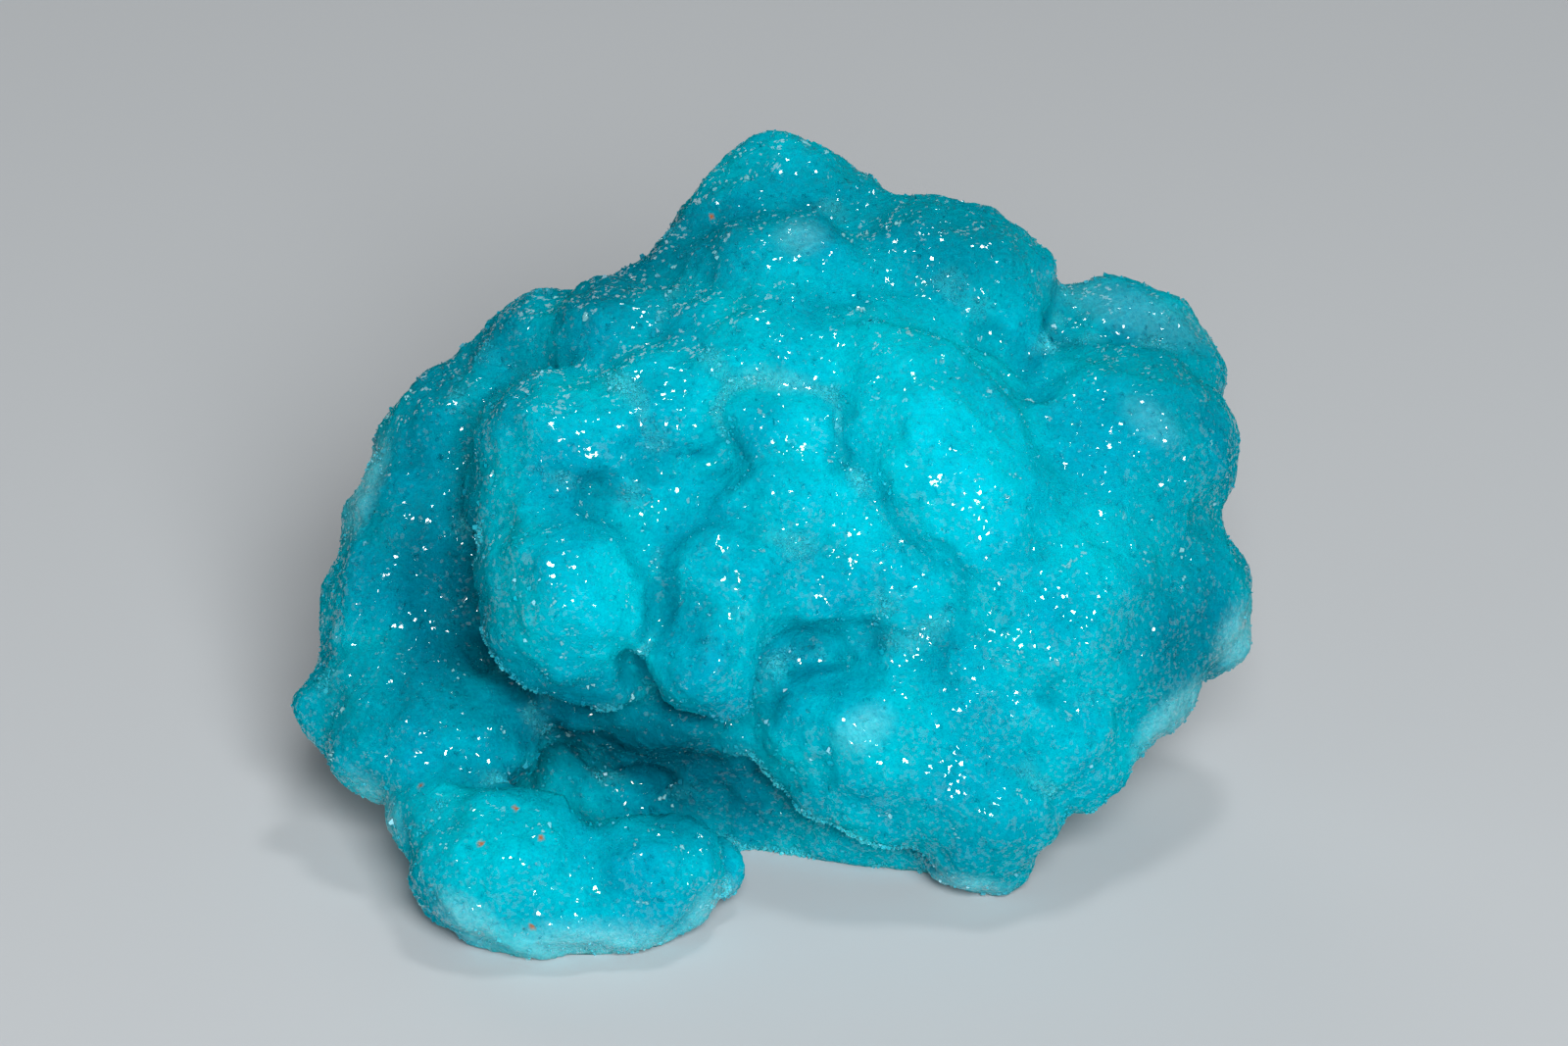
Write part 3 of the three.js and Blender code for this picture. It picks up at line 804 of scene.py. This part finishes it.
def hemimorphite_colour(material, position, rim_glow_share):
    mask = {
        name: (add_node(material, "ShaderNodeAttribute", {"attribute_name": name}), "Fac")
        for name in crust_masks
    }
    cloud = add_node(
        material, "ShaderNodeTexNoise",
        inputs={"Scale": per_metre(CLOUD_SIZE), "Detail": 3.0},
        links=position,
    )
    grain = add_node(
        material, "ShaderNodeTexNoise",
        inputs={"Scale": per_metre(GRAIN_SIZE), "Detail": 2.0, "Roughness": 0.7, "Distortion": 1.2},
        links=position,
    )
    cloudy = ranged(material, (cloud, "Fac"), 0.35, 0.65, 0, 1)
    clouded = mixed(material, cloudy, "#0099b0", "#00b0c0")
    between_grains = ranged(material, (grain, "Fac"), 0.3, 0.5, 0.4, 0)
    skin = mixed(material, between_grains, clouded, "#00809a")
    # The layers of painted shade and light, then painted glow on thin rims
    for name, none, full, most, colour in [*SHADE_LIGHT_AND_TONE_LAYERS, ("thin", 0, 1, rim_glow_share, "#4fd6e0")]:
        skin = mixed(material, ranged(material, mask[name], none, full, 0, most), skin, colour)
    speckle = ranged(material, (grain, "Fac"), 0.35, 0.65, 0.5, 1.0)
    milky = add_node(
        material, "ShaderNodeMath", {"operation": "MULTIPLY"}, links={0: mask["pale"], 1: speckle}
    )
    paled = mixed(material, ranged(material, (milky, "Value"), 0, 1, 0, 0.6), skin, "#86dfe6")
    banding = add_node(
        material, "ShaderNodeMath", {"operation": "MULTIPLY_ADD"},
        inputs={1: 2 * np.pi / BAND_SPACING}, links={0: mask["depth"], 2: (cloud, "Fac")},
    )
    band = add_node(material, "ShaderNodeMath", {"operation": "SINE"}, links={0: (banding, "Value")})
    bands = mixed(material, ranged(material, (band, "Value"), -1, 1, 0, 1), "#1b98ab", "#62bfc9")
    broken_through = mixed(material, mask["broken"], paled, bands)
    rusty = ranged(material, mask["rust"], 0.2, 0.8, 0, 0.9)
    return mixed(material, rusty, broken_through, "#a8622c")


print("the grain has", per_metre(GRAIN_SIZE), "periods to a metre")

# %% [markdown]
# The crust. Light goes in, scatters and comes out a millimetre or two away, so shadows are soft and
# deep hollows stay dark teal. That is subsurface scattering. Red light is swallowed almost at once,
# and blue goes farthest. The skin between the crystals is too rough to shine.
#
# Most druse crystals are too small and too many to model, but each has a face that can flash. A
# clear coat draws these faces: a cellular texture leans the coat's surface a different way in each
# cell, and only some cells have it. A coarser one makes neighbours lean together in places. The
# cells are 0.29 mm, coarser than the finest druse, because finer ones would not show.

# %% Hemimorphite crust material
HEMIMORPHITE_IOR = 1.61
FACE_SIZE = 0.29
FACE_GROUP_SIZE = 1.2
GROWTH_SIZE = 5
WRINKLE_SIZE = 0.55
WRINKLE_HEIGHT = 0.1
FACE_LEAN = 1.1
LIGHT_REACH_SHARES = (0.2, 0.85, 1.0)
druse, druse_shader = new_material("hemimorphite_druse")
place_node = add_node(druse, "ShaderNodeTexCoord")
position = {"Vector": (place_node, "Object")}
druse_colour = hemimorphite_colour(druse, position, rim_glow_share=0.4)
faces = add_node(druse, "ShaderNodeTexVoronoi", inputs={"Scale": per_metre(FACE_SIZE)}, links=position)
face_groups = add_node(
    druse, "ShaderNodeTexVoronoi", inputs={"Scale": per_metre(FACE_GROUP_SIZE)}, links=position
)
growth = add_node(
    druse, "ShaderNodeTexNoise", inputs={"Scale": per_metre(GROWTH_SIZE), "Detail": 2.0}, links=position
)
together = ranged(druse, (growth, "Fac"), 0.44, 0.56, 0.1, 0.8)
lean = mixed(druse, together, (faces, "Color"), (face_groups, "Color"))
centred = add_node(
    druse, "ShaderNodeVectorMath", {"operation": "SUBTRACT"}, links={0: (lean[0], lean[1])}
)
centred.inputs[1].default_value = (0.5, 0.5, 0.5)
strong = add_node(
    druse, "ShaderNodeVectorMath", {"operation": "SCALE"}, inputs={"Scale": FACE_LEAN},
    links={0: (centred, "Vector")},
)
surface = add_node(druse, "ShaderNodeNewGeometry")
leaning_surface = add_node(
    druse, "ShaderNodeVectorMath", {"operation": "ADD"},
    links={0: (strong, "Vector"), 1: (surface, "Normal")},
)
face_normal = add_node(
    druse, "ShaderNodeVectorMath", {"operation": "NORMALIZE"}, links={0: (leaning_surface, "Vector")}
)
chance = add_node(
    druse, "ShaderNodeTexWhiteNoise", {"noise_dimensions": "3D"}, links={"Vector": (faces, "Position")}
)
clear_share = ranged(druse, (growth, "Fac"), 0.35, 0.65, 0.18, 0.5)
broken_mask = add_node(druse, "ShaderNodeAttribute", {"attribute_name": "broken"})
grown_share = add_node(
    druse, "ShaderNodeMath", {"operation": "SUBTRACT"}, links={0: clear_share, 1: (broken_mask, "Fac")}
)
has_face = add_node(
    druse, "ShaderNodeMath", {"operation": "LESS_THAN"},
    links={0: (chance, "Value"), 1: (grown_share, "Value")},
)
wrinkles = add_node(
    druse, "ShaderNodeTexNoise",
    inputs={"Scale": per_metre(WRINKLE_SIZE), "Detail": 2.0, "Roughness": 0.6, "Distortion": 1.5},
    links=position,
)
grain_relief = add_node(
    druse, "ShaderNodeBump", inputs={"Strength": 0.8, "Distance": WRINKLE_HEIGHT * MM},
    links={"Height": (wrinkles, "Fac")},
)
finish_node(
    druse,
    druse_shader,
    inputs={
        "IOR": HEMIMORPHITE_IOR,
        "Roughness": 0.6,
        "Specular IOR Level": 0.0,
        "Subsurface Weight": 0.75,
        "Subsurface Radius": LIGHT_REACH_SHARES,
        "Subsurface Scale": 2.4 * MM,
        "Coat IOR": HEMIMORPHITE_IOR,
        "Coat Roughness": 0.06,
    },
    links={
        "Base Color": druse_colour,
        "Normal": (grain_relief, "Normal"),
        "Coat Weight": (has_face, "Value"),
        "Coat Normal": (face_normal, "Vector"),
    },
)
crust.data.materials.append(druse)
print("crust material with", len(druse.node_tree.nodes), "nodes")

# %% [markdown]
# The modelled tips are the same mineral. Light wanders through a tip from its bright side to its
# dark one, which keeps the shaded side from going black. A tip is only a third of a millimetre wide,
# so the light's reach in it is set short, at 0.06 mm.

# %% Tip material
tip, tip_shader = new_material("hemimorphite_tip")
tip_place = add_node(tip, "ShaderNodeTexCoord")
# The tips on the rims take more of the painted glow
tip_colour = hemimorphite_colour(tip, {"Vector": (tip_place, "Object")}, rim_glow_share=0.8)
finish_node(
    tip,
    tip_shader,
    inputs={
        "IOR": HEMIMORPHITE_IOR,
        "Roughness": 0.3,
        "Specular IOR Level": 0.2,
        "Subsurface Weight": 1.0,
        "Subsurface Radius": LIGHT_REACH_SHARES,
        "Subsurface Scale": 0.06 * MM,
    },
    links={"Base Color": tip_colour},
)
druse_tips.data.materials.append(tip)
print("tip material on", len(druse_tips.data.polygons), "faces")

# %% [markdown]
# Some crystals are clear on the real specimen. Here they are half see-through, with the mineral's
# own refraction, and faintly tinted. Wholly clear ones would cast full shadows on the crust in the
# renderer and look too dark.

# %% Clear crystal material
clear, clear_shader = new_material("hemimorphite_clear_crystal")
clear_look = {
    "Base Color": linear("#9fe8ee"),
    "IOR": HEMIMORPHITE_IOR,
    "Roughness": 0.03,
    "Transmission Weight": 0.5,
}
finish_node(clear, clear_shader, inputs=clear_look)
clear_crystals.data.materials.append(clear)
print("clear crystals, IOR", HEMIMORPHITE_IOR)

# %% [markdown]
# The stage: a plain pale floor, so wide that it fills the view, and plain soft studio light. A soft
# box a little to the right of the camera and above it is the main light. It is small enough that
# only the facets which face just so catch it, and those flash white. A smaller one overhead makes
# the tops of the lobes sparkle. A large one behind lets the thin rims glow and shows the back, and a
# weak one opens the shadows. The main light's direction follows an estimate from the specimen's own
# light and shade, so it shares the errors of the form.

# %% Floor
FLOOR_WIDTH = 6.0


def stage_plane(size):
    mesh = bpy.data.meshes.new("floor")
    half = size / 2
    corners = [(-half, -half, 0), (half, -half, 0), (half, half, 0), (-half, half, 0)]
    mesh.from_pydata(corners, [], [(0, 1, 2, 3)])
    plane = bpy.data.objects.new("floor", mesh)
    bpy.context.scene.collection.objects.link(plane)
    return plane


floor = stage_plane(FLOOR_WIDTH)
paper, paper_shader = new_material("pale_paper")
paper_look = {"Base Color": linear("#c6cacd"), "Roughness": 0.9, "Specular IOR Level": 0.1}
finish_node(paper, paper_shader, inputs=paper_look)
floor.data.materials.append(paper)
print("floor", round(floor.dimensions.x, 1), "m wide")

# %% Lights
SPECIMEN_MIDDLE = (cad_low + cad_high) / 2
SKY_STRENGTH = 0.05
# Name, direction from the specimen, distance and width in metres, and power in watts
SOFT_BOXES = [
    ("main_light", (0.14, -0.85, 0.52), 1.2, 0.48, 18.5),
    ("top_light", (0.15, 0.05, 0.85), 1.0, 0.17, 1.7),
    ("back_light", (-0.3, 0.8, 0.45), 1.3, 0.7, 2.2),
    ("fill_light", (-0.75, -0.55, 0.45), 0.9, 0.6, 0.3),
]


def soft_box(name, direction, distance, size, power):
    """A square soft light at a distance in metres, turned to the specimen."""
    light = bpy.data.lights.new(name, "AREA")
    light.size = size
    light.energy = power
    lamp = bpy.data.objects.new(name, light)
    bpy.context.scene.collection.objects.link(lamp)
    away = Vector(direction).normalized()
    lamp.location = SPECIMEN_MIDDLE + away * distance
    lamp.rotation_mode = "QUATERNION"
    lamp.rotation_quaternion = away.to_track_quat("Z", "Y")


for row in SOFT_BOXES:
    soft_box(*row)
world = bpy.data.worlds.new("studio")
world.use_nodes = True
sky = world.node_tree.nodes["Background"]
sky.inputs["Color"].default_value = linear("#dfe6ea")
sky.inputs["Strength"].default_value = SKY_STRENGTH
bpy.context.scene.world = world
bpy.context.scene.view_settings.view_transform = "Standard"
print(len(SOFT_BOXES), "soft boxes and a weak sky")

# %% [markdown]
# The camera looks along +Y and down at 25 degrees, from 75 cm away, with a long lens: the specimen
# is 81 mm wide and fills three fifths of the picture's width. The distance is a choice, far enough
# to keep the near lobes from looking too large.

# %% Camera
CAMERA_DISTANCE = 0.75
PICTURE_WIDTH_MM = 130.6
SENSOR_MM = 36.0
PICTURE_MIDDLE_RIGHT_MM = 0.82
PICTURE_MIDDLE_UP_MM = 1.755
camera = bpy.data.cameras.new("camera")
camera.sensor_width = SENSOR_MM
camera.lens = SENSOR_MM * CAMERA_DISTANCE / (PICTURE_WIDTH_MM * MM)
camera.clip_start = 0.01
camera_object = bpy.data.objects.new("camera", camera)
bpy.context.scene.collection.objects.link(camera_object)
picture_middle = standing(PICTURE_MIDDLE_RIGHT_MM, PICTURE_MIDDLE_UP_MM, 0)
aim = Vector((picture_middle - place_of_origin) * MM)
backward = Vector(standing(0, 0, 1))
camera_object.location = aim + backward * CAMERA_DISTANCE
camera_object.rotation_mode = "QUATERNION"
camera_object.rotation_quaternion = backward.to_track_quat("Z", "Y")
bpy.context.scene.camera = camera_object
print("lens", round(camera.lens, 1), "mm")
